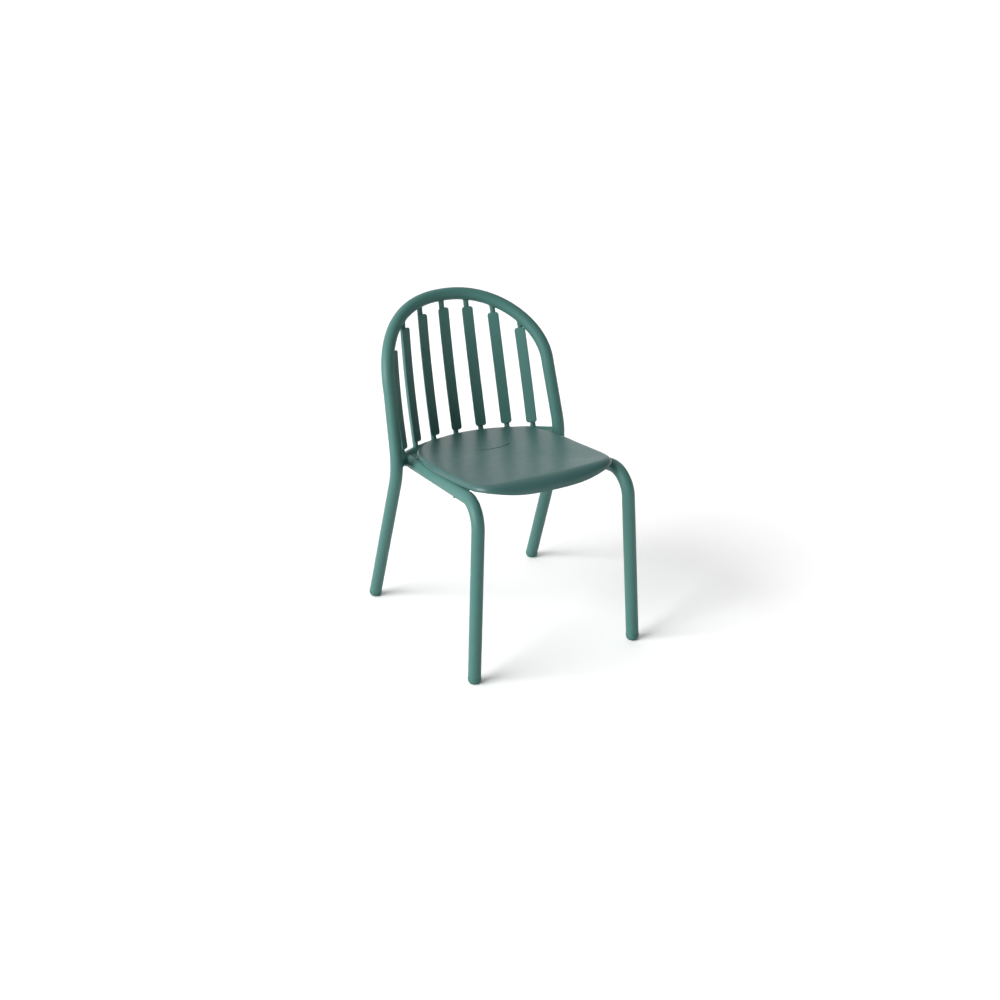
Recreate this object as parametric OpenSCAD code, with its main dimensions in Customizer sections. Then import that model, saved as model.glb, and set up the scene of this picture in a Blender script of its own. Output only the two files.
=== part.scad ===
// Stacking chair: bent tube frame, barrel back with seven slats, pressed sheet seat.
// Millimetres. +Z up, front of the chair faces -Y, origin on the floor at the middle of the plan.

/* [Tubes] */
// outside diameter of the frame tubes
tube_d = 30; // [26:0.5:34]
// wall thickness of the frame tubes
tube_wall = 2; // [1.2:0.1:3]
// outside diameter of the curved cross tube behind the seat
bow_d = 27; // [18:0.5:28]

/* [Back hoop] */
// width between hoop side centre lines at the shoulders
hoop_w = 422; // [390:1:440]
// height of the hoop centre line at the top
hoop_top_z = 741; // [700:1:800]
// height where the sides start to curve into the arch
shoulder_z = 574; // [520:1:600]
// fullness of the arch, 2 is an ellipse
arch_power = 2.28; // [1.9:0.02:2.6]
// lean of the hoop sides, degrees from vertical
back_lean = 13.9; // [9:0.1:18]
// plan radius of the barrel shaped back
barrel_r = 258; // [235:1:320]
// width between centre lines at the knees
knee_w = 439; // [415:1:455]
// height of the knees
knee_z = 399; // [385:1:410]
// bend radius at the knees
knee_r = 150; // [90:1:200]
// width between the rear feet
rear_foot_w = 448; // [430:1:490]
// rear feet behind the origin
rear_foot_y = 250; // [225:1:275]

/* [Front legs and rails] */
// width between the front feet
front_foot_w = 421; // [400:1:450]
// front feet ahead of the origin
front_foot_y = 272; // [255:1:290]
// width between the front bends
front_bend_w = 380; // [370:1:390]
// front bends ahead of the origin
front_bend_y = 278; // [270:1:285]
// height of the rail line at the front bend
front_bend_z = 440; // [430:1:450]
// bend radius of the front legs
front_bend_r = 56; // [45:1:70]
// width between the rails at the back of the seat
rail_rear_w = 322; // [310:1:335]
// fall of the rails towards the back, degrees
rail_fall = 6.85; // [5.5:0.05:8]

/* [Seat] */
// half width of the seat plate
seat_half_w = 181; // [176:0.5:185]
// seat front edge ahead of the seat datum
seat_front = 246; // [236:1:250]
// seat rear edge behind the seat datum
seat_rear = 238; // [225:1:239]
// plan radius of the seat rear edge
seat_rear_r = 190; // [188:1:230]
// height of the seat rim above the rail centre line
seat_rise = 29; // [26:0.5:32]
// thickness of the seat sheet
seat_t = 3; // [2:0.25:4]
// depth of the dish in the seat
seat_dish = 6; // [2:0.5:9]
// width of the curved drain slot
slot_w = 4.8; // [2:0.2:6]
// length of the drain slot
slot_len = 88; // [60:1:100]
// sideways offset of the drain slot from the centre line
slot_side = 11; // [-15:1:15]
// distance of the drain slot's middle behind the seat datum
slot_back = 62; // [45:1:85]

/* [Slats] */
// angle between slats seen from the barrel axis, at the hoop
slat_step_top = 13.8; // [12.5:0.1:14.4]
// angle between slats seen from the barrel axis, at the cross tube
slat_step_bottom = 14.5; // [13:0.1:15]
// diameter of the slat rods
rod_d = 13; // [10:0.5:15]
// backward bow of the rods at mid height
rod_bow = 5; // [2:0.5:10]
// width of the comfort strips
strip_w = 27; // [20:1:32]
// thickness of the comfort strips
strip_t = 4; // [3:0.5:5]
// gap from hoop centre line to the top of a strip
strip_top_gap = 31; // [26:1:45]
// gap from cross tube centre line to the bottom of a strip
strip_bottom_gap = 25; // [20:1:32]

/* [Feet and pads] */
// height of a glide above its ball centre, where the tube ends
glide_lift = 5; // [3:0.5:8]
// extra diameter of a glide over the tube
glide_extra = 1; // [0.4:0.2:2]
// length of the glide plug inside the tube
glide_plug = 18; // [12:1:30]
// height of the stacking pads under the rails
pad_h = 3.2; // [2:0.2:5]
// stacking pads ahead of the origin
pad_y = 142; // [100:1:170]

/* [Hidden] */
tr = tube_d / 2;
bore_r = tr - tube_wall;
br = bow_d / 2;
half_w = hoop_w / 2;
tan_lean = tan(back_lean);
knee_y = 84;
bow_z = 400;
bow_back = 214;
bow_cy = bow_back - barrel_r * cos(rail_fall);
glide_r = tr + glide_extra / 2;
glide_z = 11;
powder = [0.36, 0.53, 0.49];
plastic = [0.30, 0.46, 0.43];
rail_slope = tan(rail_fall);
datum_y = -40;
datum_z = front_bend_z - rail_slope * (front_bend_y + datum_y);
slat_ids = [-3, -2, -1, 0, 1, 2, 3];
$fn = 48;

function unit(v) = v / norm(v);
function barrel_y(x) = sqrt(barrel_r * barrel_r - min(x * x, half_w * half_w)) - sqrt(barrel_r * barrel_r - half_w * half_w);
function hoop_y(x, z) = knee_y + (z - knee_z) * tan_lean + barrel_y(x);
function arch_z(x) = shoulder_z + (hoop_top_z - shoulder_z)
  * pow(max(0, 1 - pow(min(1, abs(x) / half_w), arch_power)), 1 / arch_power);
function arch_x(a) = half_w * sign(cos(a)) * pow(abs(cos(a)), 2 / arch_power);
function arch_h(a) = shoulder_z + (hoop_top_z - shoulder_z) * pow(abs(sin(a)), 2 / arch_power);
function arch_pt(a) = [arch_x(a), hoop_y(arch_x(a), arch_h(a)), arch_h(a)];
function side_pt(s, z) = let(k = (z - knee_z) / (shoulder_z - knee_z), x = (knee_w / 2) * (1 - k) + half_w * k)
  [s * x, knee_y + (z - knee_z) * tan_lean, z];

rear_foot = [rear_foot_w / 2, rear_foot_y, glide_z];
knee = [knee_w / 2, knee_y, knee_z];
rear_dir = unit(knee - rear_foot);
front_foot = [front_foot_w / 2, -front_foot_y, glide_z];
front_bend = [front_bend_w / 2, -front_bend_y, front_bend_z];
rail_end_y = bow_cy + cos(rail_fall) * sqrt(pow(barrel_r, 2) - pow(rail_rear_w / 2, 2));
rail_end = [rail_rear_w / 2, rail_end_y, front_bend_z - rail_slope * (rail_end_y + front_bend_y)];
front_dir = unit(front_bend - front_foot);
function flip(p, s) = [s * p[0], p[1], p[2]];

knee_corner = [rear_foot + rear_dir * glide_lift, knee, arch_pt(0)];
// hoop centre line: foot, knee bend, side, arch, and the same mirrored
hoop_arch = [for (a = [0, 3, 6.5, 11, 16, 21.5, 27, 32.5, 38, 43.5, 49, 54.5, 60, 65.5, 71, 76, 80.5, 84.5, 87.6]) arch_pt(a)];
hoop_leg = concat([knee_corner[0]], bend_points(knee_corner[0], knee_corner[1], knee_corner[2], knee_r, 7));
hoop_side = concat(hoop_leg, hoop_arch);
hoop_line = concat([for (p = hoop_side) flip(p, -1)], [arch_pt(90)],
  [for (i = [len(hoop_side) - 1 : -1 : 0]) hoop_side[i]]);

// half the angle at q between the lines to p and r
function corner_half(p, q, r) = acos(max(-1, min(1, unit(p - q) * unit(r - q)))) / 2;

module ring(ro, ri) {
  difference() {
    circle(r = ro);
    if (ri > 0) circle(r = ri);
  }
}

module straight(a, b, ro, ri) {
  l = norm(b - a);
  z = l > 0 ? (b - a) / l : [0, 0, 1];
  x = unit(abs(z[2]) > 0.9 ? cross([0, 1, 0], z) : cross([0, 0, 1], z));
  y = cross(z, x);
  if (l > 0.02)
    multmatrix([[x[0], y[0], z[0], a[0]], [x[1], y[1], z[1], a[1]], [x[2], y[2], z[2], a[2]], [0, 0, 0, 1]])
      linear_extrude(l) ring(ro, ri);
}

// points along one bend, both tangent points included
function bend_points(p, q, r, rad, n) = let(h = corner_half(p, q, r), u = unit(p - q), v = unit(r - q),
  c = q + unit(u + v) * rad / sin(h), x = unit(q + u * rad / tan(h) - c), e = unit(q + v * rad / tan(h) - c),
  y = unit(e - x * (x * e))) [for (k = [0 : n]) let(a = k * (180 - 2 * h) / n) c + rad * (x * cos(a) + y * sin(a))];

// tube swept along a line that never runs along ref, its last ring cut square to end_n, solid when ri is 0
module swept_tube(line, ro, ri, sides, ref, end_n) {
  n = len(line);
  dirs = [for (i = [0 : n - 1]) unit(unit(line[min(i + 1, n - 1)] - line[min(i, n - 2)])
    + unit(line[max(i, 1)] - line[max(i - 1, 0)]))];
  side = [for (d = dirs) unit(cross(d, ref))];
  cut = end_n == undef ? dirs[n - 1] : end_n;
  back = [for (i = [0 : n - 1]) cross(dirs[i], side[i])];
  rin = ri / cos(180 / sides);
  function tube_ring(i, r) = [for (k = [0 : sides - 1]) let(a = k * 360 / sides,
    o = r * (side[i] * cos(a) + back[i] * sin(a)), d = dirs[i])
    line[i] + (i == n - 1 ? o - d * (o * cut) / (d * cut) : o)];
  pts = concat([for (i = [0 : n - 1]) each tube_ring(i, ro)],
    ri > 0 ? [for (i = [n - 1 : -1 : 0]) each tube_ring(i, rin)] : []);
  m = ri > 0 ? 2 * n : n;
  faces = [for (i = [0 : (ri > 0 ? m : m - 1) - 1], k = [0 : sides - 1], t = [0, 1])
    let(j = (i + 1) % m, l = (k + 1) % sides)
    t == 0 ? [i * sides + k, j * sides + k, i * sides + l] : [i * sides + l, j * sides + k, j * sides + l]];
  caps = ri > 0 ? [] : [[for (k = [0 : sides - 1]) k], [for (k = [sides - 1 : -1 : 0]) (n - 1) * sides + k]];
  polyhedron(pts, concat(faces, caps), convexity = 10);
}

// the cross tube lies in the plane of the seat, so it falls towards the back
module bow_tube(ro, ri) {
  a = asin(min(0.999, (knee_w / 2 - 1) / barrel_r));
  translate([0, bow_cy, bow_plane_z(bow_cy)]) rotate([-rail_fall, 0, 0]) rotate([0, 0, 90 - a])
    rotate_extrude(angle = 2 * a, $fn = 96) translate([barrel_r, 0]) ring(ro, ri, $fn = 48);
}
function bow_plane_z(y) = bow_z - (y - 110) * rail_slope;

// slat ends on the two centre lines, and a frame with z along the slat and y to its back
function slat_x(i) = barrel_r * sin(i * slat_step_top);
function arch_at(x) = [x, hoop_y(x, arch_z(x)), arch_z(x)];
function slat_top(i) = arch_at(slat_x(i));
function slat_low(i) = let(y = bow_cy + barrel_r * cos(i * slat_step_bottom) * cos(rail_fall))
  [barrel_r * sin(i * slat_step_bottom), y, bow_plane_z(y)];
function slat_len(i) = norm(slat_top(i) - slat_low(i));
module slat_frame(i) {
  b = slat_low(i);
  z = unit(slat_top(i) - b);
  m = (slat_step_top + slat_step_bottom) / 2 * i;
  x = unit([cos(m), -sin(m), 0] - z * (z * [cos(m), -sin(m), 0]));
  y = cross(z, x);
  multmatrix([[x[0], y[0], z[0], b[0]], [x[1], y[1], z[1], b[1]], [x[2], y[2], z[2], b[2]], [0, 0, 0, 1]])
    children();
}
function bow_radius(l) = (l * l / 4 + rod_bow * rod_bow) / (2 * rod_bow);
// arc band in the slat frame from height z0 to z1, drawn from a profile around the rod line
module slat_arc(l, z0, z1) {
  r = bow_radius(l);
  a0 = asin((z0 - l / 2) / r);
  a1 = asin((z1 - l / 2) / r);
  translate([0, rod_bow - r, l / 2]) rotate([90, 0, 90]) rotate([0, 0, a0])
    rotate_extrude(angle = a1 - a0, $fn = 360) translate([r, 0]) children();
}
module slat_rod(i) {
  t = slat_top(i);
  d = unit(arch_at(slat_x(i) + 0.5) - arch_at(slat_x(i) - 0.5));
  difference() {
    slat_frame(i) slat_arc(slat_len(i), 2, slat_len(i) - 2) circle(r = rod_d / 2, $fn = 48);
    straight(t - d * 40, t + d * 40, tr - 0.08, 0);
    bow_tube(br - 0.03, 0);
  }
}
module slat_strip(i) {
  l = slat_len(i);
  w = strip_w / 2;
  c = 7;
  slat_frame(i) intersection() {
    slat_arc(l, strip_bottom_gap - 2, l - strip_top_gap + 2)
      translate([-rod_d / 2 - strip_t, -w]) square([strip_t, 2 * w]);
    rotate([90, 0, 0]) translate([0, 0, -20]) linear_extrude(60)
      polygon(round_rect(-w, strip_bottom_gap, w, l - strip_top_gap, c));
  }
}
function round_rect(x0, z0, x1, z1, c) = [for (q = [0 : 3], k = [0 : 6]) let(a = q * 90 + k * 15)
  [(q == 0 || q == 3 ? x1 - c : x0 + c) + c * cos(a), (q < 2 ? z1 - c : z0 + c) + c * sin(a)]];

module back_hoop() {
  color(powder) swept_tube(hoop_line, tr, bore_r, 24, [0, 1, 0]);
}

module rear_bow() {
  color(powder) difference() {
    bow_tube(br, br - 2);
    for (s = [-1, 1]) {
      swept_tube([for (p = concat(hoop_leg, [arch_pt(0)])) flip(p, s)], tr, 0, 24, [0, 1, 0]);
      translate([s * (knee_w / 2 + 102) - 100, 0, bow_z - 100]) cube(200);
    }
  }
}

module front_leg(s) {
  foot = front_foot + front_dir * glide_lift;
  line = concat([foot], bend_points(foot, front_bend, rail_end, front_bend_r, 10), [rail_end]);
  face = unit([rail_end[0], rail_end[1] - bow_cy, 0]);
  color(powder) difference() {
    mirror([s < 0 ? 1 : 0, 0, 0]) swept_tube(line, tr, bore_r, 24, [1, 0, 0], face);
    bow_tube(br - 0.03, 0);
  }
}
module front_leg_left() { front_leg(-1); }
module front_leg_right() { front_leg(1); }

// seat outline, distance from the seat datum in a direction
seat_front_r = 600;
function ray_circle(cy, r, a) = let(b = -cy * sin(a)) -b + sqrt(max(0, b * b - cy * cy + r * r));
function seat_end(a) = sin(a) > 0 ? ray_circle(seat_rear - seat_rear_r, seat_rear_r, a)
  : ray_circle(seat_front_r - seat_front, seat_front_r, a);
function seat_side(a) = seat_half_w / max(0.001, abs(cos(a)));
function seat_k(a) = sin(a) > 0 ? 12 : 11;
function smooth(a, b, x) = let(t = max(0, min(1, (x - a) / (b - a)))) t * t * (3 - 2 * t);
function seat_blend(a) = pow(pow(seat_end(a), -seat_k(a)) + pow(seat_side(a), -seat_k(a)), -1 / seat_k(a));
function seat_out(a) = sin(a) > 0 ? seat_side(a) + (seat_blend(a) - seat_side(a)) * smooth(0, 0.45, sin(a))
  : seat_blend(a);
function frontness(a) = smooth(0.77, 1, -sin(a));
// rolled edge: its width in plan and its height, both growing towards the front
function seat_roll(a) = 7 + 8 * smooth(-0.5, 0.7, -sin(a)) + 11 * frontness(a);
function seat_roll_h(a) = min(seat_roll(a), 11 + 15 * frontness(a));
function seat_drop(a) = (seat_rise - tr) + 18.5 * frontness(a);
function seat_top_z(a, s) = seat_rise - seat_dish * pow(1 - s * s, 1.5);
// ring points of the shell: outer skin when t is 0, inner skin when t is the sheet thickness
function skin_flat(a, k, n, t) = let(ro = seat_out(a), rf = seat_roll(a), s = k / n, rad = s * (ro - rf))
  [rad * cos(a), rad * sin(a), seat_top_z(a, s) - t];
function skin_roll(a, b, t) = let(w = seat_roll(a), h = seat_roll_h(a), rad = seat_out(a) - w + (w - t) * sin(b))
  [rad * cos(a), rad * sin(a), seat_rise - h + (h - t) * cos(b)];
function skin_low(a, t) = let(rad = seat_out(a) - t)
  [rad * cos(a), rad * sin(a), seat_rise - seat_drop(a)];

module seat_shell() {
  na = 80;
  nf = 6;
  nr = 4;
  angles = [for (j = [0 : na - 1]) (j + 0.5) * 360 / na];
  outer = concat([for (k = [1 : nf]) [for (a = angles) skin_flat(a, k, nf, 0)]],
    [for (k = [1 : nr]) [for (a = angles) skin_roll(a, k * 90 / nr, 0)]],
    [[for (a = angles) skin_low(a, 0)]]);
  inner = concat([[for (a = angles) skin_low(a, seat_t)]],
    [for (k = [nr : -1 : 1]) [for (a = angles) skin_roll(a, k * 90 / nr, seat_t)]],
    [for (k = [nf : -1 : 1]) [for (a = angles) skin_flat(a, k, nf, seat_t)]]);
  rings = concat(outer, inner);
  n = len(rings);
  pts = concat([for (r = rings) each r], [[0, 0, seat_top_z(0, 0)], [0, 0, seat_top_z(0, 0) - seat_t]]);
  top = n * na;
  faces = concat(
    [for (j = [0 : na - 1]) [top, (j + 1) % na, j]],
    [for (k = [0 : n - 2], j = [0 : na - 1]) [k * na + j, k * na + (j + 1) % na, (k + 1) * na + j]],
    [for (k = [0 : n - 2], j = [0 : na - 1]) [k * na + (j + 1) % na, (k + 1) * na + (j + 1) % na, (k + 1) * na + j]],
    [for (j = [0 : na - 1]) [top + 1, (n - 1) * na + j, (n - 1) * na + (j + 1) % na]]);
  polyhedron(pts, faces, convexity = 8);
}

// curved drain slot, ends turned to the back of the chair
module seat_slot() {
  sag = slot_len * 0.155;
  r = (slot_len * slot_len / 4 + sag * sag) / (2 * sag);
  h = asin(slot_len / 2 / r);
  translate([slot_side, slot_back + r, 0]) {
    rotate([0, 0, -90 - h]) rotate_extrude(angle = 2 * h)
      translate([r - slot_w / 2, 0]) square([slot_w, 60]);
    for (s = [-1, 1]) rotate([0, 0, -90 + s * h]) translate([r, 0, 0]) cylinder(d = slot_w * 1.3, h = 60);
  }
}

module seat_plate() {
  color(powder) translate([0, datum_y, datum_z]) rotate([-rail_fall, 0, 0]) difference() {
    seat_shell();
    seat_slot();
  }
}

module glide(foot, dir, s) {
  f = flip(foot, s);
  z = flip(dir, s);
  x = unit(cross([0, 1, 0], z));
  y = cross(z, x);
  color(plastic) difference() {
    multmatrix([[x[0], y[0], z[0], f[0]], [x[1], y[1], z[1], f[1]], [x[2], y[2], z[2], f[2]], [0, 0, 0, 1]])
      rotate_extrude() {
        intersection() {
          circle(r = glide_r);
          translate([0, -glide_r]) square([glide_r, glide_r + glide_lift / 2]);
        }
        square([glide_r, glide_lift]);
        square([bore_r, glide_lift + glide_plug]);
      }
    translate([f[0] - 50, f[1] - 50, -50]) cube([100, 100, 50]);
  }
}
module glide_front_left() { glide(front_foot, front_dir, -1); }
module glide_front_right() { glide(front_foot, front_dir, 1); }
module glide_rear_left() { glide(rear_foot, rear_dir, -1); }
module glide_rear_right() { glide(rear_foot, rear_dir, 1); }

module stack_pad(s) {
  k = (front_bend_y - pad_y) / (rail_end_y + front_bend_y);
  p = front_bend * (1 - k) + rail_end * k;
  color(plastic) difference() {
    translate(flip(p, s)) rotate([-rail_fall, 0, 0]) translate([0, 0, -tr - pad_h]) cylinder(r = 6, h = pad_h + 4);
    straight(flip(front_bend, s), flip(rail_end, s), tr - 0.07, 0);
  }
}
module stack_pad_left() { stack_pad(-1); }
module stack_pad_right() { stack_pad(1); }

module slat_rod_1() { color(powder) slat_rod(-3); }
module slat_rod_2() { color(powder) slat_rod(-2); }
module slat_rod_3() { color(powder) slat_rod(-1); }
module slat_rod_4() { color(powder) slat_rod(0); }
module slat_rod_5() { color(powder) slat_rod(1); }
module slat_rod_6() { color(powder) slat_rod(2); }
module slat_rod_7() { color(powder) slat_rod(3); }
module slat_plate_1() { color(powder) slat_strip(-3); }
module slat_plate_2() { color(powder) slat_strip(-2); }
module slat_plate_3() { color(powder) slat_strip(-1); }
module slat_plate_4() { color(powder) slat_strip(0); }
module slat_plate_5() { color(powder) slat_strip(1); }
module slat_plate_6() { color(powder) slat_strip(2); }
module slat_plate_7() { color(powder) slat_strip(3); }

back_hoop();
front_leg_left();
front_leg_right();
rear_bow();
seat_plate();
slat_rod_1();
slat_rod_2();
slat_rod_3();
slat_rod_4();
slat_rod_5();
slat_rod_6();
slat_rod_7();
slat_plate_1();
slat_plate_2();
slat_plate_3();
slat_plate_4();
slat_plate_5();
slat_plate_6();
slat_plate_7();
glide_front_left();
glide_front_right();
glide_rear_left();
glide_rear_right();
stack_pad_left();
stack_pad_right();
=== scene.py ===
"""Stacking chair: bent tube frame, barrel back with seven slats, pressed seat. Metres, front towards -Y."""
import math
import bpy
import bmesh
import numpy as np
from mathutils import Matrix, Vector


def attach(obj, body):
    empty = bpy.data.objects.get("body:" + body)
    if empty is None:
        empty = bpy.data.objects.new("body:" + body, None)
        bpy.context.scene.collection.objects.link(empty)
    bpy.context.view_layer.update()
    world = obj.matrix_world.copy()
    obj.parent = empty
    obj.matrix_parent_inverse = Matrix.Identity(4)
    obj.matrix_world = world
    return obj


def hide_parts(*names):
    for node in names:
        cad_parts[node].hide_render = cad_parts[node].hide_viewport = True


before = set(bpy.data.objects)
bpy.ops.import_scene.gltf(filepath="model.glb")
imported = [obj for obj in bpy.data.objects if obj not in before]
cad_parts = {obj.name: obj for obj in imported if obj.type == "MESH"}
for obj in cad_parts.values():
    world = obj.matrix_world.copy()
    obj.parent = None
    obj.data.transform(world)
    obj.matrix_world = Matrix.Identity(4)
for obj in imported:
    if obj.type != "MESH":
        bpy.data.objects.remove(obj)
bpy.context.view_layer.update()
scene = bpy.context.scene
MM = 0.001

# ---------------------------------------------------------------- sizes in millimetres, as in the part's source
TUBE_R, BOW_R, ROD_R = 15.0, 13.5, 6.5
HALF_W, HOOP_TOP, SHOULDER_Z, ARCH_POWER = 211.0, 741.0, 574.0, 2.28
BACK_LEAN, BARREL_R = math.radians(13.9), 258.0
KNEE, KNEE_R = Vector((219.5, 84.0, 399.0)), 150.0
REAR_FOOT, FRONT_FOOT = Vector((224.0, 250.0, 11.0)), Vector((210.5, -272.0, 11.0))
FRONT_BEND, FRONT_BEND_R = Vector((190.0, -278.0, 440.0)), 56.0
RAIL_REAR_X, RAIL_FALL = 161.0, math.radians(6.85)
BOW_Z, BOW_BACK, BOW_DATUM_Y = 400.0, 214.0, 110.0
BOW_CY = BOW_BACK - BARREL_R * math.cos(RAIL_FALL)
BOW_HALF = math.asin(KNEE.x / BARREL_R)
STEP_TOP, STEP_LOW = math.radians(13.8), math.radians(14.5)
ROD_BOW, STRIP_W, STRIP_T, STRIP_TOP_GAP, STRIP_LOW_GAP = 5.0, 27.0, 4.0, 31.0, 25.0
SEAT_HALF, SEAT_FRONT, SEAT_FRONT_R, SEAT_REAR, SEAT_REAR_R = 181.0, 246.0, 600.0, 238.0, 190.0
SEAT_RISE, SEAT_T, SEAT_DISH, SEAT_LIP_R = 29.0, 3.0, 6.0, 1.2
SEAT_ROLL, SEAT_ROLL_SIDE, SEAT_ROLL_FRONT, SEAT_ROLL_HIGH = 7.0, 8.0, 11.0, 11.0
SEAT_APRON_ROLL, SEAT_APRON = 15.0, 18.5
SLOT_W, SLOT_LEN, SLOT_X, SLOT_Y, SLOT_SAG, SLOT_END = 4.8, 88.0, 11.0, 62.0, 0.155, 0.65
GLIDE_LIFT, PAD_Y, PAD_H = 5.0, 142.0, 3.2
DATUM = Vector((0.0, -40.0, FRONT_BEND.z - math.tan(RAIL_FALL) * (-FRONT_BEND.y - 40.0)))


# ---------------------------------------------------------------- curves of the frame
def side(p, s):
    return Vector((s * p.x, p.y, p.z))


def round_corner(p, q, r, rad, n):
    """points of the bend of radius rad that rounds the corner q between p and r"""
    u, v = (p - q).normalized(), (r - q).normalized()
    half = u.angle(v) / 2
    c = q + (u + v).normalized() * rad / math.sin(half)
    a, b = q + u * rad / math.tan(half) - c, q + v * rad / math.tan(half) - c
    turn = math.pi - 2 * half
    y = (b - a * (b.dot(a) / rad ** 2)).normalized() * rad
    return [c + a * math.cos(k * turn / n) + y * math.sin(k * turn / n) for k in range(n + 1)]


def line_points(a, b, n):
    return [a.lerp(b, k / n) for k in range(n)]


def barrel(x):
    return math.sqrt(BARREL_R ** 2 - min(x * x, HALF_W ** 2)) - math.sqrt(BARREL_R ** 2 - HALF_W ** 2)


def on_back(x, z):
    return Vector((x, KNEE.y + (z - KNEE.z) * math.tan(BACK_LEAN) + barrel(x), z))


def arch_at(x):
    k = max(0.0, 1 - min(1.0, abs(x) / HALF_W) ** ARCH_POWER)
    return on_back(x, SHOULDER_Z + (HOOP_TOP - SHOULDER_Z) * k ** (1 / ARCH_POWER))


def arch_turn(a):
    c, s = math.cos(a), math.sin(a)
    x = HALF_W * math.copysign(abs(c) ** (2 / ARCH_POWER), c)
    return on_back(x, SHOULDER_Z + (HOOP_TOP - SHOULDER_Z) * abs(s) ** (2 / ARCH_POWER))


REAR_DIR = (KNEE - REAR_FOOT).normalized()
FRONT_DIR = (FRONT_BEND - FRONT_FOOT).normalized()


def hoop_path():
    foot = REAR_FOOT + REAR_DIR * GLIDE_LIFT
    knee = round_corner(foot, KNEE, arch_turn(0), KNEE_R, 22)
    half = line_points(foot, knee[0], 40) + knee[:-1] + line_points(knee[-1], arch_turn(0), 20)
    arch = [arch_turn(k * math.pi / 180) for k in range(181)]
    return half + arch + [side(p, -1) for p in reversed(half)]


def bow_point(a):
    y = BOW_CY + BARREL_R * math.cos(a) * math.cos(RAIL_FALL)
    return Vector((BARREL_R * math.sin(a), y, BOW_Z - (y - BOW_DATUM_Y) * math.tan(RAIL_FALL)))


def rail_point(y):
    k = (y - FRONT_BEND.y) / (RAIL_END.y - FRONT_BEND.y)
    return FRONT_BEND.lerp(RAIL_END, k)


RAIL_END_Y = BOW_CY + math.cos(RAIL_FALL) * math.sqrt(BARREL_R ** 2 - RAIL_REAR_X ** 2)
RAIL_END_Z = FRONT_BEND.z - math.tan(RAIL_FALL) * (RAIL_END_Y - FRONT_BEND.y)
RAIL_END = Vector((RAIL_REAR_X, RAIL_END_Y, RAIL_END_Z))


def leg_path(s):
    foot = FRONT_FOOT + FRONT_DIR * GLIDE_LIFT
    bend = round_corner(foot, FRONT_BEND, RAIL_END, FRONT_BEND_R, 30)
    path = line_points(foot, bend[0], 50) + bend[:-1] + line_points(bend[-1], RAIL_END, 12) + [RAIL_END]
    return [side(p, s) for p in path]


def slat_frame(i):
    """foot, length and the three directions of slat i: across, to the back, along"""
    top = arch_at(BARREL_R * math.sin(i * STEP_TOP))
    low = bow_point(i * STEP_LOW)
    along = (top - low).normalized()
    m = (STEP_TOP + STEP_LOW) / 2 * i
    across = Vector((math.cos(m), -math.sin(m), 0))
    across = (across - along * along.dot(across)).normalized()
    return low, (top - low).length, across, along.cross(across), along


# ---------------------------------------------------------------- small node kit
class Net:
    """one node tree and a short way to add its nodes"""

    def __init__(self, tree):
        self.tree = tree

    def node(self, kind, settings=None, values=None, out=0):
        n = self.tree.nodes.new(kind)
        for k, v in (settings or {}).items():
            if k == "stops":
                ramp = n.color_ramp
                while len(ramp.elements) < len(v):
                    ramp.elements.new(0.5)
                for e, (pos, col) in zip(ramp.elements, v):
                    e.position, e.color = pos, (*col, 1)
            else:
                setattr(n, k, v)
        for k, v in (values or {}).items():
            s = n.inputs[k]
            if isinstance(v, Val):
                self.tree.links.new(v.socket, s)
            elif hasattr(v, "is_output"):
                self.tree.links.new(v, s)
            else:
                s.default_value = v
        n.location = (len(self.tree.nodes) * 180, 0)
        return n if out is None else Val(self, n.outputs[out])

    def mix(self, factor, a, b):
        return self.node("ShaderNodeMix", {"data_type": "RGBA"}, {0: factor, 6: a, 7: b}, 2)


class Val:
    """a socket that takes part in sums"""

    def __init__(self, net, socket):
        self.net, self.socket = net, socket

    def _math(self, op, a, b=None, clamp=False):
        values = {0: a} if b is None else {0: a, 1: b}
        return self.net.node("ShaderNodeMath", {"operation": op, "use_clamp": clamp}, values)

    def __add__(self, o): return self._math("ADD", self, o)
    def __radd__(self, o): return self._math("ADD", o, self)
    def __sub__(self, o): return self._math("SUBTRACT", self, o)
    def __rsub__(self, o): return self._math("SUBTRACT", o, self)
    def __mul__(self, o): return self._math("MULTIPLY", self, o)
    def __rmul__(self, o): return self._math("MULTIPLY", o, self)
    def __truediv__(self, o): return self._math("DIVIDE", self, o)
    def clamp(self): return self._math("ADD", self, 0.0, True)
    def sine(self): return self._math("SINE", self)


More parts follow.
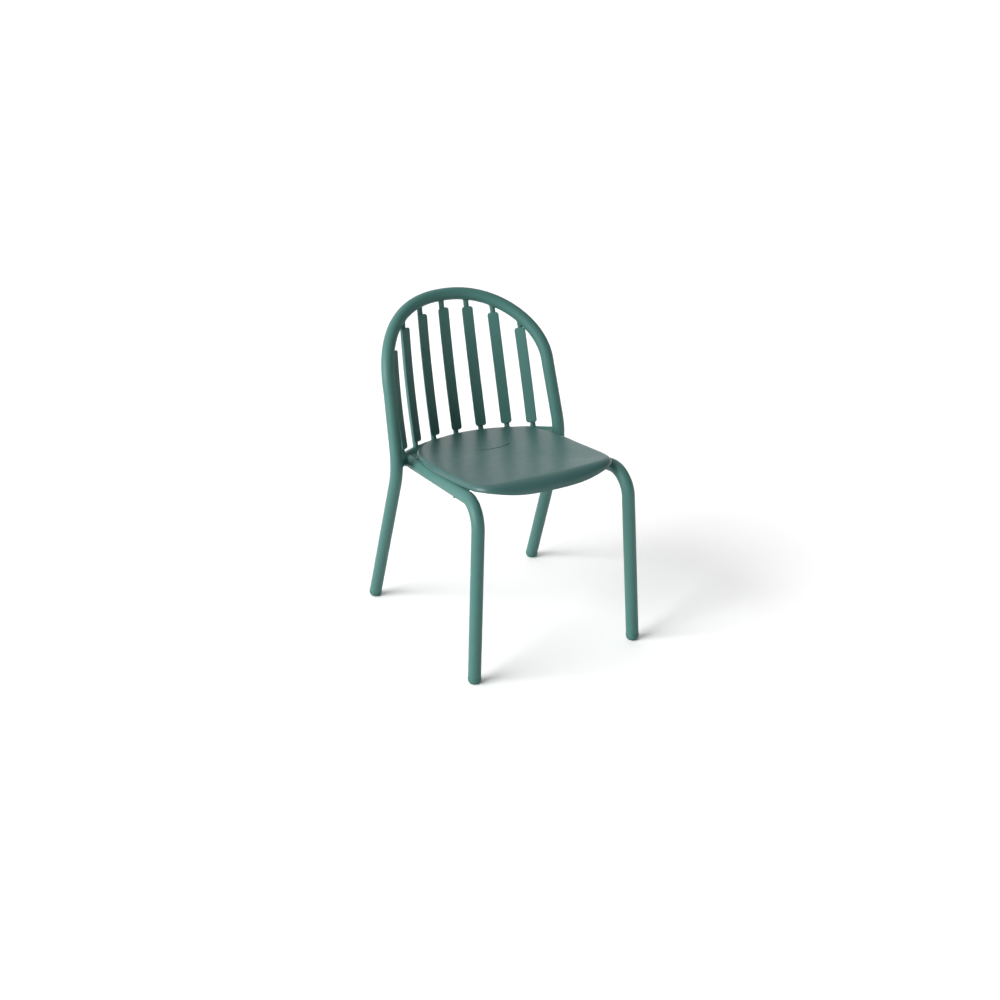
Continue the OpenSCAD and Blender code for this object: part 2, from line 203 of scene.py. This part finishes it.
# ---------------------------------------------------------------- finishes
def finish_material(name, colour, shade, rough, peel, specular=0.28, grain=0.0):
    """powder finish: slow drift of tone, fine peel, faint scuffs, all on object coordinates"""
    mat = bpy.data.materials.new(name)
    mat.use_nodes = True
    mat.node_tree.nodes.clear()
    net = Net(mat.node_tree)
    place = net.node("ShaderNodeTexCoord", out=3)

    def noise(scale, detail=2.0, roughness=0.5):
        return net.node("ShaderNodeTexNoise", None,
                        {"Vector": place, "Scale": scale, "Detail": detail, "Roughness": roughness})

    drift = noise(5.0, 3.0)
    cloud = noise(38.0, 4.0, 0.6)
    speck = noise(2400.0, 1.0)
    scuff_field = noise(70.0, 6.0, 0.65)
    scuff = net.node("ShaderNodeMapRange", None, {0: scuff_field, 1: 0.66, 2: 0.74, 3: 0.0, 4: 1.0})
    tone = (drift - 0.5) * 0.55 + (cloud - 0.5) * 0.3 + (speck - 0.5) * 0.25 + 0.5
    base = net.mix(tone.clamp(), (*shade, 1), (*colour, 1))
    lighter = tuple(min(1.0, c * 1.25 + 0.02) for c in colour)
    base = net.mix(scuff * 0.16, base, (*lighter, 1))
    roughness = (rough + (cloud - 0.5) * 0.12 + (drift - 0.5) * 0.06 + scuff * 0.08).clamp()
    orange = noise(620.0, 2.0, 0.55)
    fine = noise(1900.0, 1.0)
    height = orange * 0.7 + fine * (0.3 + grain)
    bump = net.node("ShaderNodeBump", None, {"Strength": peel, "Distance": 0.00035, "Height": height})
    shader = net.node("ShaderNodeBsdfPrincipled", None, {
        "Base Color": base, "Roughness": roughness, "Normal": bump,
        "Specular IOR Level": specular, "IOR": 1.5})
    net.node("ShaderNodeOutputMaterial", None, {"Surface": shader}, None)
    return mat


TEAL, TEAL_DEEP = (0.047, 0.136, 0.120), (0.039, 0.118, 0.104)
powder_frame = finish_material("powder_frame", TEAL, TEAL_DEEP, 0.46, 0.22)
powder_slats = finish_material("powder_slats", TEAL, TEAL_DEEP, 0.48, 0.22)
powder_seat = finish_material("powder_seat", (0.034, 0.095, 0.088), (0.028, 0.083, 0.077), 0.37, 0.2,
                              specular=0.42)
weld_coat = finish_material("weld_coat", (0.044, 0.126, 0.111), (0.035, 0.108, 0.095), 0.5, 0.35)
MOULDED = {"peel": 0.3, "specular": 0.25, "grain": 0.4}
glide_plastic = finish_material("glide_plastic", (0.043, 0.124, 0.109), (0.035, 0.106, 0.093), 0.56,
                                **MOULDED)
pad_plastic = finish_material("pad_plastic", (0.030, 0.082, 0.073), (0.024, 0.068, 0.060), 0.6, **MOULDED)


# ---------------------------------------------------------------- meshes and geometry trees
def mesh_object(name, verts, faces, edges=(), scale=MM):
    me = bpy.data.meshes.new(name)
    me.from_pydata([tuple(c * scale for c in v) for v in verts], edges, faces)
    me.update()
    ob = bpy.data.objects.new(name, me)
    scene.collection.objects.link(ob)
    return ob


def face_outwards(me, join=0.0):
    """turns all faces of a mesh outwards, after joining points that are closer than join"""
    bm = bmesh.new()
    bm.from_mesh(me)
    if join:
        bmesh.ops.remove_doubles(bm, verts=bm.verts, dist=join)
    bmesh.ops.recalc_face_normals(bm, faces=bm.faces)
    bm.to_mesh(me)
    bm.free()


def skin(rows, n):
    """faces between neighbouring rings of n points each"""
    return [(r * n + k, r * n + (k + 1) % n, (r + 1) * n + (k + 1) % n, (r + 1) * n + k)
            for r in range(rows - 1) for k in range(n)]


def end_caps(rows, n):
    return [tuple(range(n))[::-1], tuple((rows - 1) * n + k for k in range(n))]


def circle_outline(r, n):
    return [(r * math.cos(2 * math.pi * k / n), r * math.sin(2 * math.pi * k / n)) for k in range(n)]


def paths_object(name, paths, closed=False, radii=None):
    """a mesh of bare edges along the paths, with the girth of the tube at every point"""
    verts, edges, sizes = [], [], []
    for j, path in enumerate(paths):
        n0 = len(verts)
        verts += path
        edges += [(n0 + k, n0 + k + 1) for k in range(len(path) - 1)]
        if closed:
            edges.append((n0 + len(path) - 1, n0))
        sizes += (radii[j] if radii else [1.0] * len(path))
    ob = mesh_object(name, verts, [], edges)
    at = ob.data.attributes.new("girth", "FLOAT", "POINT")
    at.data.foreach_set("value", sizes)
    return ob


def tree_with_inputs(name, inputs):
    tree = bpy.data.node_groups.new(name, "GeometryNodeTree")
    tree.interface.new_socket("Geometry", in_out="INPUT", socket_type="NodeSocketGeometry")
    for label, kind, value in inputs:
        s = tree.interface.new_socket(label, in_out="INPUT", socket_type=kind)
        if value is not None:
            s.default_value = value
    tree.interface.new_socket("Geometry", in_out="OUTPUT", socket_type="NodeSocketGeometry")
    net = Net(tree)
    return net, net.node("NodeGroupInput", out=None).outputs


def close_tree(net, geometry, material):
    real = net.node("GeometryNodeRealizeInstances", None, {0: geometry})
    smooth = net.node("GeometryNodeSetShadeSmooth", None, {0: real})
    painted = net.node("GeometryNodeSetMaterial", None, {0: smooth, "Material": material})
    net.node("NodeGroupOutput", None, {0: painted}, None)
    return net.tree


def bent_tube_tree():
    """a tube along every path, its girth scaled point by point, with a light ripple for weld beads"""
    net, got = tree_with_inputs("bent_tube", [
        ("Radius", "NodeSocketFloat", 0.015), ("Sides", "NodeSocketInt", 48),
        ("Ripple", "NodeSocketFloat", 0.0), ("Pitch", "NodeSocketFloat", 0.002),
        ("Finish", "NodeSocketMaterial", None)])
    curve = net.node("GeometryNodeMeshToCurve", None, {0: got["Geometry"]})
    girth = net.node("GeometryNodeInputNamedAttribute", {"data_type": "FLOAT"}, {"Name": "girth"})
    way = net.node("GeometryNodeSplineParameter", out=1)
    wave = (way / Val(net, got["Pitch"]) * (2 * math.pi)).sine()
    size = girth * (1.0 + wave * Val(net, got["Ripple"]))
    curve = net.node("GeometryNodeSetCurveRadius", None, {0: curve, "Radius": size})
    ring = net.node("GeometryNodeCurvePrimitiveCircle", None,
                    {"Resolution": got["Sides"], "Radius": got["Radius"]})
    tube = net.node("GeometryNodeCurveToMesh", None, {0: curve, 1: ring, "Fill Caps": True})
    return close_tree(net, tube, got["Finish"])


def slat_fan_tree():
    """sets a template upright on every slat foot, stretches it to the slat's length and bows it"""
    net, got = tree_with_inputs("slat_fan", [
        ("Template", "NodeSocketObject", None), ("Bow", "NodeSocketFloat", 0.005),
        ("Finish", "NodeSocketMaterial", None)])
    shape = net.node("GeometryNodeObjectInfo", None, {0: got["Template"]}, "Geometry")
    stand = net.node("GeometryNodeInstanceOnPoints", None, {"Points": got["Geometry"], "Instance": shape})
    real = net.node("GeometryNodeRealizeInstances", None, {0: stand})

    def named(label, kind):
        return net.node("GeometryNodeInputNamedAttribute", {"data_type": kind}, {"Name": label})

    length, share, off = named("length", "FLOAT"), named("share", "FLOAT"), named("off", "FLOAT")
    local = named("local", "FLOAT_VECTOR")
    xyz = net.node("ShaderNodeSeparateXYZ", None, {0: local}, None)
    height = share * length + off
    part = height / length
    bow = part * (1.0 - part) * 4.0 * Val(net, got["Bow"])
    spots = [(named("across", "FLOAT_VECTOR"), Val(net, xyz.outputs[0])),
             (named("rearward", "FLOAT_VECTOR"), Val(net, xyz.outputs[1]) + bow),
             (named("along", "FLOAT_VECTOR"), height)]
    place = named("foot", "FLOAT_VECTOR")
    for way, amount in spots:
        step = net.node("ShaderNodeVectorMath", {"operation": "SCALE"}, {0: way, "Scale": amount})
        place = net.node("ShaderNodeVectorMath", {"operation": "ADD"}, {0: place, 1: step})
    moved = net.node("GeometryNodeSetPosition", None, {0: real, "Position": place})
    return close_tree(net, moved, got["Finish"])


TREE_NOTES = ("girth", "length", "share", "off", "local", "across", "rearward", "along", "foot")


def run_tree(ob, tree, settings, name):
    """the tree's result as a plain mesh object at the origin"""
    mod = ob.modifiers.new("shape", "NODES")
    mod.node_group = tree
    keys = {s.name: s.identifier for s in tree.interface.items_tree
            if s.item_type == "SOCKET" and s.in_out == "INPUT"}
    for label, value in settings.items():
        mod[keys[label]] = value
    ob.update_tag()
    bpy.context.view_layer.update()
    me = bpy.data.meshes.new_from_object(ob.evaluated_get(bpy.context.evaluated_depsgraph_get()))
    bpy.data.objects.remove(ob)
    me.name = name
    for a in [a.name for a in me.attributes if a.name in TREE_NOTES]:
        me.attributes.remove(me.attributes[a])
    out = bpy.data.objects.new(name, me)
    scene.collection.objects.link(out)
    face_outwards(me, join=1e-6)
    return out


BENT_TUBE, SLAT_FAN = bent_tube_tree(), slat_fan_tree()


def tube(name, paths, radius, finish, sides=48, radii=None, closed=False, ripple=0.0, pitch=2.0):
    ob = paths_object(name + "_path", paths, closed, radii)
    made = run_tree(ob, BENT_TUBE, {"Radius": radius * MM, "Sides": sides, "Ripple": ripple,
                                    "Pitch": pitch * MM, "Finish": finish}, name)
    for p in made.data.polygons:
        p.use_smooth = len(p.vertices) <= 4
    return made


def hand_over(piece, slot, *nodes):
    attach(piece, "root")
    if nodes:
        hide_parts(*nodes)
    return piece


# ---------------------------------------------------------------- frame tubes
def mitre_rail(leg, s):
    """slants the rear end of the rail to the way the cross tube runs there"""
    a = math.asin(RAIL_REAR_X / BARREL_R)
    across = side(bow_point(a + 0.01) - bow_point(a - 0.01), s).normalized()
    ahead = side(RAIL_END - FRONT_BEND, s).normalized()
    hub = side(RAIL_END, s)
    normal = ahead - across * ahead.dot(across)
    for v in leg.data.vertices:
        p = v.co / MM
        if abs((p - hub).dot(ahead)) < 0.5:
            v.co = (p + ahead * ((hub - p).dot(normal) / ahead.dot(normal))) * MM


hand_over(tube("hoop_tube", [hoop_path()], TUBE_R, powder_frame, 56), "powder_frame", "back_hoop")
for word, s in (("left", -1), ("right", 1)):
    leg = tube("front_leg_tube_" + word, [leg_path(s)], TUBE_R, powder_frame, 56)
    mitre_rail(leg, s)
    hand_over(leg, "powder_frame", "front_leg_" + word)
bow_path = [bow_point(-BOW_HALF + k * 2 * BOW_HALF / 150) for k in range(151)]
hand_over(tube("rear_bow_tube", [bow_path], BOW_R, powder_frame, 48), "powder_frame", "rear_bow")


# ---------------------------------------------------------------- slats
SLATS = range(-3, 4)
TEMPLATE_LEN = 300.0


def slat_points():
    """one point at every slat's foot, with the slat's place, length and directions"""
    frames = [slat_frame(i) for i in SLATS]
    ob = mesh_object("slat_feet", [f[0] for f in frames], [])
    columns = {"foot": [f[0] * MM for f in frames], "across": [f[2] for f in frames],
               "rearward": [f[3] for f in frames], "along": [f[4] for f in frames]}
    for label, vectors in columns.items():
        at = ob.data.attributes.new(label, "FLOAT_VECTOR", "POINT")
        at.data.foreach_set("vector", [c for v in vectors for c in v])
    ob.data.attributes.new("length", "FLOAT", "POINT").data.foreach_set("value", [f[1] * MM for f in frames])
    return ob


def template(name, rings):
    """rings of (share, off, [(x, y)]) skinned into one closed shape"""
    n = len(rings[0][2])
    verts, share, off, local = [], [], [], []
    for t, o, outline in rings:
        for x, y in outline:
            verts.append((x, y, t * TEMPLATE_LEN + o))
            share.append(t)
            off.append(o * MM)
            local += [x * MM, y * MM, 0.0]
    ob = mesh_object(name, verts, skin(len(rings), n) + end_caps(len(rings), n))
    ob.data.attributes.new("share", "FLOAT", "POINT").data.foreach_set("value", share)
    ob.data.attributes.new("off", "FLOAT", "POINT").data.foreach_set("value", off)
    ob.data.attributes.new("local", "FLOAT_VECTOR", "POINT").data.foreach_set("vector", local)
    return ob


def strip_outline(w, t, edge):
    """cross-section of a strip in front of the rod: half width w, thickness t, rounded edges"""
    yc = -ROD_R - STRIP_T / 2
    pts = []
    for cx, cy, a0 in ((w - edge, t / 2 - edge, 0), (-w + edge, t / 2 - edge, 90),
                       (-w + edge, -t / 2 + edge, 180), (w - edge, -t / 2 + edge, 270)):
        for k in range(6):
            a = math.radians(a0 + k * 18)
            pts.append((cx + edge * math.cos(a), yc + cy + edge * math.sin(a)))
    return pts


rod_rings = [(0.0, 6.0, circle_outline(ROD_R, 32))]
rod_rings += [(k / 40, 0.0, circle_outline(ROD_R, 32)) for k in range(2, 39)]
rod_rings += [(1.0, -8.0, circle_outline(ROD_R, 32))]
rod_form = template("rod_form", rod_rings)

EDGE, CORNER = 1.25, 7.0
strip_rings = []
for t0, gap, sign in ((0.0, STRIP_LOW_GAP, 1), (1.0, STRIP_TOP_GAP, -1)):
    rows = []
    for k in range(11):
        a = math.radians(90 * k / 10)
        half = STRIP_W / 2 - CORNER + CORNER * math.sin(a)
        rise = CORNER * (1 - math.cos(a))
        thin = min(1.0, 0.35 + rise / 1.6)
        edge = min(EDGE * thin, STRIP_T * thin / 2 - 0.02)
        rows.append((t0, sign * (gap + rise), strip_outline(half, STRIP_T * thin, edge)))
    strip_rings.append(rows)
middle = [(k / 30, 0.0, strip_outline(STRIP_W / 2, STRIP_T, EDGE)) for k in range(4, 27)]
strip_form = template("strip_form", strip_rings[0] + middle + strip_rings[1][::-1])
slat_settings = {"Bow": ROD_BOW * MM, "Finish": powder_slats}
rods = run_tree(slat_points(), SLAT_FAN, {"Template": rod_form, **slat_settings}, "slat_rods")
strips = run_tree(slat_points(), SLAT_FAN, {"Template": strip_form, **slat_settings}, "slat_strips")
for form in (rod_form, strip_form):
    bpy.data.objects.remove(form)
hand_over(rods, "powder_slats", *["slat_rod_%d" % k for k in range(1, 8)])
hand_over(strips, "powder_slats", *["slat_plate_%d" % k for k in range(1, 8)])


# ---------------------------------------------------------------- weld beads
def distance(points, path):
    """distance of every point to a line of short straight pieces"""
    a, b = np.array(path[:-1]), np.array(path[1:])
    flat = points.reshape(-1, 1, 3) - a
    way = b - a
    t = np.clip((flat * way).sum(-1) / (way * way).sum(-1), 0, 1)
    return np.linalg.norm(flat - t[..., None] * way, axis=-1).min(-1).reshape(points.shape[:-1])


def joint_loop(steps, radius, path, target, n=64):
    """closed line where a round bar meets a tube: steps are (middle, one way across, other way across)"""
    near = [q for q in path if (q - steps[-1][0]).length < 70]
    turn = np.linspace(0, 2 * math.pi, n, endpoint=False)
    mid, u, v = (np.array([st[k] for st in steps])[:, None, :] for k in range(3))
    points = mid + radius * (np.cos(turn)[None, :, None] * u + np.sin(turn)[None, :, None] * v)
    gap = distance(points, near) - target
    loop = []
    for k in range(n):
        inside = np.nonzero(gap[:, k] < 0)[0]
        if len(inside) and inside[0] > 0:
            m = inside[0]
            share = gap[m - 1, k] / (gap[m - 1, k] - gap[m, k])
            loop.append(Vector(points[m - 1, k] + (points[m, k] - points[m - 1, k]) * share))
        else:
            loop.append(Vector(points[int(np.argmin(gap[:, k])), k]))
    return loop


REACH = 50


def slat_end_loops():
    """the beads around both ends of every rod, on the hoop and on the cross tube"""
    loops = []
    hoop, bow = hoop_path(), [bow_point(-0.95 + k * 0.01) for k in range(191)]
    for i in SLATS:
        low, length, across, rearward, along = slat_frame(i)

        def rod_step(h):
            bowed = rearward * (ROD_BOW * 4 * h / length * (1 - h / length))
            return low + along * h + bowed, across, rearward

        to_hoop = [rod_step(length - REACH + k) for k in range(REACH + 1)]
        to_bow = [rod_step(REACH - k) for k in range(REACH + 1)]
        loops.append(joint_loop(to_hoop, ROD_R + 0.3, hoop, TUBE_R + 0.3))
        loops.append(joint_loop(to_bow, ROD_R + 0.3, bow, BOW_R + 0.3))
    return loops


def bow_end_loops():
    """the beads where the cross tube meets the hoop on both sides"""
    def bow_step(a):
        ahead = (bow_point(a + 0.01) - bow_point(a - 0.01)).normalized()
        out = Vector((math.sin(a), math.cos(a) * math.cos(RAIL_FALL), -math.cos(a) * math.sin(RAIL_FALL)))
        return bow_point(a), out, out.cross(ahead)

    steps = [bow_step(BOW_HALF - (REACH - k) / BARREL_R) for k in range(REACH + 6)]
    loop = joint_loop(steps, BOW_R + 0.4, hoop_path()[:120], TUBE_R + 0.4, 80)
    return [[side(q, s) for q in loop] for s in (1, -1)]


def rail_end_loops():
    """the bead that closes each rail over the cross tube"""
    ahead = (RAIL_END - FRONT_BEND).normalized()
    u = ahead.cross(Vector((0, 0, 1))).normalized()
    v = u.cross(ahead)
    steps = [(RAIL_END + ahead * (k - REACH), u, v) for k in range(REACH + 31)]
    bow = [bow_point(k * 0.01) for k in range(96)]
    loop = joint_loop(steps, TUBE_R + 0.3, bow, BOW_R + 0.4, 96)
    return [[side(q, s) for q in loop] for s in (1, -1)]


def seat_weld_lines():
    """three short beads under each side of the seat where its rim sits on the rail"""
    lines, sizes = [], []
    tilt = Vector((0, math.cos(RAIL_FALL), -math.sin(RAIL_FALL)))
    for s in (-1, 1):
        for y in (-185.0, -60.0, 60.0):
            mid = rail_point(y) + Vector((-8.5, 0, 12.6))
            line = [side(mid + tilt * d, s) for d in range(-16, 17, 1)]
            lines.append(line)
            sizes.append([math.sqrt(max(0.05, 1 - (d / 16.5) ** 2)) for d in range(-16, 17, 1)])
    return lines, sizes


rod_welds = tube("slat_weld_beads", slat_end_loops(), 1.15, weld_coat, 12, closed=True, ripple=0.1, pitch=1.9)
hand_over(rod_welds, "powder_slats")
end_welds = tube("cross_tube_weld_beads", bow_end_loops() + rail_end_loops(), 1.5, weld_coat, 12, closed=True,
                 ripple=0.1, pitch=2.3)
hand_over(end_welds, "powder_frame")
lines, sizes = seat_weld_lines()
hand_over(tube("seat_weld_beads", lines, 2.4, weld_coat, 14, sizes, ripple=0.12, pitch=2.6), "powder_frame")


# ---------------------------------------------------------------- pressed seat
def smooth(a, b, x):
    t = max(0.0, min(1.0, (x - a) / (b - a)))
    return t * t * (3 - 2 * t)


def ray_circle(cy, r, a):
    b = -cy * math.sin(a)
    return -b + math.sqrt(max(0.0, b * b - cy * cy + r * r))


def seat_out(a):
    """distance from the seat's middle to its edge in direction a"""
    rear = math.sin(a) > 0
    reach, radius = (SEAT_REAR, SEAT_REAR_R) if rear else (SEAT_FRONT, SEAT_FRONT_R)
    end = ray_circle(reach - radius if rear else radius - reach, radius, a)
    k, flank = 12 if rear else 11, SEAT_HALF / max(0.001, abs(math.cos(a)))
    out = (end ** -k + flank ** -k) ** (-1 / k)
    return flank + (out - flank) * smooth(0, 0.45, math.sin(a)) if rear else out


def seat_skin(a, below):
    """line of the seat in direction a, from the middle over the rolled edge to the lip, set in by below"""
    out = seat_out(a)
    front = smooth(0.77, 1.0, -math.sin(a))
    roll = SEAT_ROLL + SEAT_ROLL_SIDE * smooth(-0.5, 0.7, -math.sin(a)) + SEAT_ROLL_FRONT * front
    high = min(roll, SEAT_ROLL_HIGH + SEAT_APRON_ROLL * front)
    drop = (SEAT_RISE - TUBE_R) + SEAT_APRON * front
    line = []
    for k in range(1, 29):
        s = k / 28
        line.append((s * (out - roll), SEAT_RISE - SEAT_DISH * (1 - s * s) ** 1.5 - below))
    for k in range(1, 11):
        b = math.radians(9 * k)
        line.append((out - roll + (roll - below) * math.sin(b),
                     SEAT_RISE - high + (high - below) * math.cos(b)))
    low = SEAT_RISE - drop
    side_z = line[-1][1]
    for k in range(1, 5):
        line.append((out - below, side_z + (low + SEAT_LIP_R - side_z) * k / 4))
    return line, out, low


def seat_pan():
    na = 288
    rings = None
    for j in range(na):
        a = (j + 0.5) * 2 * math.pi / na
        outer, out, low = seat_skin(a, 0.0)
        inner, _, _ = seat_skin(a, SEAT_T)
        lip = [(out - SEAT_T / 2 + SEAT_T / 2 * math.cos(math.radians(t)),
                low + SEAT_LIP_R - SEAT_LIP_R * math.sin(math.radians(t))) for t in (30, 60, 90, 120, 150)]
        line = outer + lip + inner[::-1]
        if rings is None:
            rings = [[] for _ in line]
        for r, (rad, z) in zip(rings, line):
            r.append(Vector((rad * math.cos(a), rad * math.sin(a), z)))
    verts = [p for r in rings for p in r]
    n = len(rings)
    verts += [Vector((0, 0, SEAT_RISE - SEAT_DISH)), Vector((0, 0, SEAT_RISE - SEAT_DISH - SEAT_T))]
    faces = [(k * na + j, (k + 1) * na + j, (k + 1) * na + (j + 1) % na, k * na + (j + 1) % na)
             for k in range(n - 1) for j in range(na)]
    faces += [(n * na, j, (j + 1) % na) for j in range(na)]
    faces += [(n * na + 1, (n - 1) * na + (j + 1) % na, (n - 1) * na + j) for j in range(na)]
    tilt = Matrix.Rotation(-RAIL_FALL, 4, "X")
    return mesh_object("seat_pan", [tilt @ v + DATUM for v in verts], faces), tilt


def slot_cutter(tilt):
    """upright block in the shape of the curved drain slot, with a round widening at each end"""
    sag = SLOT_LEN * SLOT_SAG
    r = (SLOT_LEN ** 2 / 4 + sag * sag) / (2 * sag)
    half = math.asin(SLOT_LEN / 2 / r)
    bulb = SLOT_END * SLOT_W
    meet = math.asin(SLOT_W / 2 / bulb)
    trim = bulb * math.cos(meet) / r
    outline = []
    for end in (1, -1):
        for k in range(41):
            a = -math.pi / 2 + end * (half - trim) * (k / 20 - 1)
            rad = r + end * SLOT_W / 2
            outline.append((SLOT_X + rad * math.cos(a), SLOT_Y + r + rad * math.sin(a)))
        a = -math.pi / 2 + end * half
        for k in range(1, 16):
            b = (math.pi - meet) * (1 - k / 8)
            x, y = r * math.cos(a), r * math.sin(a)
            x += bulb * end * (-math.cos(b) * math.sin(a) + math.sin(b) * math.cos(a))
            y += bulb * end * (math.cos(b) * math.cos(a) + math.sin(b) * math.sin(a))
            outline.append((SLOT_X + x, SLOT_Y + r + y))
    n = len(outline)
    verts = [tilt @ Vector((x, y, z)) + DATUM for z in (10.0, 40.0) for x, y in outline]
    return mesh_object("slot_cutter", verts, skin(2, n) + end_caps(2, n))


seat, seat_tilt = seat_pan()
cutter = slot_cutter(seat_tilt)
for ob in (seat, cutter):
    face_outwards(ob.data)
cut = seat.modifiers.new("slot", "BOOLEAN")
cut.object, cut.operation, cut.solver = cutter, "DIFFERENCE", "EXACT"
bpy.context.view_layer.update()
seat_mesh = bpy.data.meshes.new_from_object(seat.evaluated_get(bpy.context.evaluated_depsgraph_get()))
seat.modifiers.clear()
seat.data = seat_mesh
bpy.data.objects.remove(cutter)
seat.data.materials.clear()
seat.data.materials.append(powder_seat)
seat.data.shade_smooth()
seat.data.set_sharp_from_angle(angle=math.radians(50))
hand_over(seat, "powder_seat", "seat_plate")


# ---------------------------------------------------------------- glides and stacking pads
def lathe(profile, place, name, finish, n=56):
    """closed revolve of (radius, height) about the local z of place"""
    verts = []
    for r, z in profile:
        verts += [place @ Vector((x, y, z)) for x, y in circle_outline(r, n)]
    ob = mesh_object(name, verts, skin(len(profile), n) + end_caps(len(profile), n))
    face_outwards(ob.data)
    ob.data.materials.append(finish)
    ob.data.shade_smooth()
    ob.data.set_sharp_from_angle(angle=math.radians(40))
    return ob


def stand(origin, direction):
    z = direction.normalized()
    x = Vector((0, 1, 0)).cross(z).normalized()
    y = z.cross(x)
    return Matrix.Translation(origin) @ Matrix((x, y, z)).transposed().to_4x4()


GLIDE_R, PLUG_R, PLUG_LEN, PAD_R = 15.5, 12.9, 17.0, 6.0
glide_profile = [(GLIDE_R * math.cos(math.radians(a)), GLIDE_R * math.sin(math.radians(a)))
                 for a in range(-88, 1, 4)]
glide_profile += [(GLIDE_R, GLIDE_LIFT - 1.0), (GLIDE_R - 0.35, GLIDE_LIFT - 0.35),
                  (GLIDE_R - 0.9, GLIDE_LIFT - 0.05), (PLUG_R + 0.3, GLIDE_LIFT), (PLUG_R, GLIDE_LIFT + 0.2),
                  (PLUG_R, GLIDE_LIFT + PLUG_LEN), (PLUG_R - 0.9, GLIDE_LIFT + PLUG_LEN + 1.0)]
for end, foot, direction in (("front", FRONT_FOOT, FRONT_DIR), ("rear", REAR_FOOT, REAR_DIR)):
    for hand, s in (("left", -1), ("right", 1)):
        word = end + "_" + hand
        place = stand(side(foot, s), side(direction, s))
        glide = lathe(glide_profile, place, "floor_glide_" + word, glide_plastic)
        for v in glide.data.vertices:
            v.co.z = max(v.co.z, 0.0)
        hand_over(glide, "glide_plastic", "glide_" + word)

PAD_LOW = -TUBE_R - PAD_H
pad_profile = [(PAD_R - 0.8, PAD_LOW), (PAD_R - 0.25, PAD_LOW + 0.25), (PAD_R, PAD_LOW + 0.8),
               (PAD_R, -TUBE_R + 3.0)]
for word, s in (("left", -1), ("right", 1)):
    spot = rail_point(-PAD_Y)
    place = Matrix.Translation(side(spot, s)) @ Matrix.Rotation(-RAIL_FALL, 4, "X")
    pad = lathe(pad_profile, place, "stacking_pad_" + word, pad_plastic, 40)
    hand_over(pad, "glide_plastic", "stack_pad_" + word)


# ---------------------------------------------------------------- floor, light and camera
FLOOR_SWEEP = [(30, 0), (32, 0.08), (34, 0.3), (36, 0.7), (38, 1.4), (40, 2.5), (41, 4)]
FLOOR_SIDES, FLOOR_WHITE = 64, 0.90
GLOW_FROM, GLOW_LOW, GLOW_HIGH = (-0.42, 0.90, 0.05), 0.14, 1.05
SUNS = (("key_left", (-0.93, -0.02, 0.40), 5.3, 50), ("fill_top", (0.0, -0.3, 1.0), 0.3, 90))
SENSOR, FOCAL = 36.0, 1.72459
EYE = Vector((-1.721429, -3.355726, 1.953182))
VIEW_RIGHT = Vector((0.8845984788, -0.4658521959, -0.0216162634))
VIEW_UP = Vector((0.2042357879, 0.3453161913, 0.9159937068))


def studio():
    """a white floor that curves up far away, a graded sky and two soft suns"""
    verts = [(x, y, z) for r, z in FLOOR_SWEEP for x, y in circle_outline(r, FLOOR_SIDES)]
    faces = [tuple(range(FLOOR_SIDES))] + [f[::-1] for f in skin(len(FLOOR_SWEEP), FLOOR_SIDES)]
    floor = mesh_object("studio_floor", verts, faces, scale=1.0)
    mat = bpy.data.materials.new("studio_floor")
    mat.use_nodes = True
    shader = mat.node_tree.nodes["Principled BSDF"]
    shader.inputs["Base Color"].default_value = (FLOOR_WHITE, FLOOR_WHITE, FLOOR_WHITE, 1)
    shader.inputs["Roughness"].default_value = 0.9
    shader.inputs["Specular IOR Level"].default_value = 0.0
    floor.data.materials.append(mat)
    world = bpy.data.worlds.new("studio")
    world.use_nodes = True
    net = Net(world.node_tree)
    way = net.node("ShaderNodeTexCoord", out=0)
    turned = net.node("ShaderNodeVectorMath", {"operation": "DOT_PRODUCT"}, {0: way, 1: GLOW_FROM}, 1)
    glow = net.node("ShaderNodeMapRange", {"interpolation_type": "SMOOTHSTEP"},
                    {0: turned, 1: -0.7, 2: 0.9, 3: GLOW_LOW, 4: GLOW_HIGH})
    background = world.node_tree.nodes["Background"]
    background.inputs[0].default_value = (1.0, 1.0, 1.0, 1)
    world.node_tree.links.new(glow.socket, background.inputs[1])
    scene.world = world
    for name, towards, power, angle in SUNS:
        data = bpy.data.lights.new(name, "SUN")
        data.energy, data.angle = power, math.radians(angle)
        lamp = bpy.data.objects.new(name, data)
        lamp.rotation_euler = Vector(towards).to_track_quat("Z", "Y").to_euler()
        scene.collection.objects.link(lamp)


def camera():
    data = bpy.data.cameras.new("view")
    data.sensor_width, data.lens = SENSOR, FOCAL * SENSOR
    data.clip_start, data.clip_end = 0.1, 200
    cam = bpy.data.objects.new("view", data)
    turn = Matrix((VIEW_RIGHT, VIEW_UP, VIEW_RIGHT.cross(VIEW_UP))).transposed()
    cam.matrix_world = Matrix.Translation(EYE) @ turn.to_4x4()
    scene.collection.objects.link(cam)
    scene.camera = cam


studio()
camera()
scene.view_settings.view_transform = "Standard"
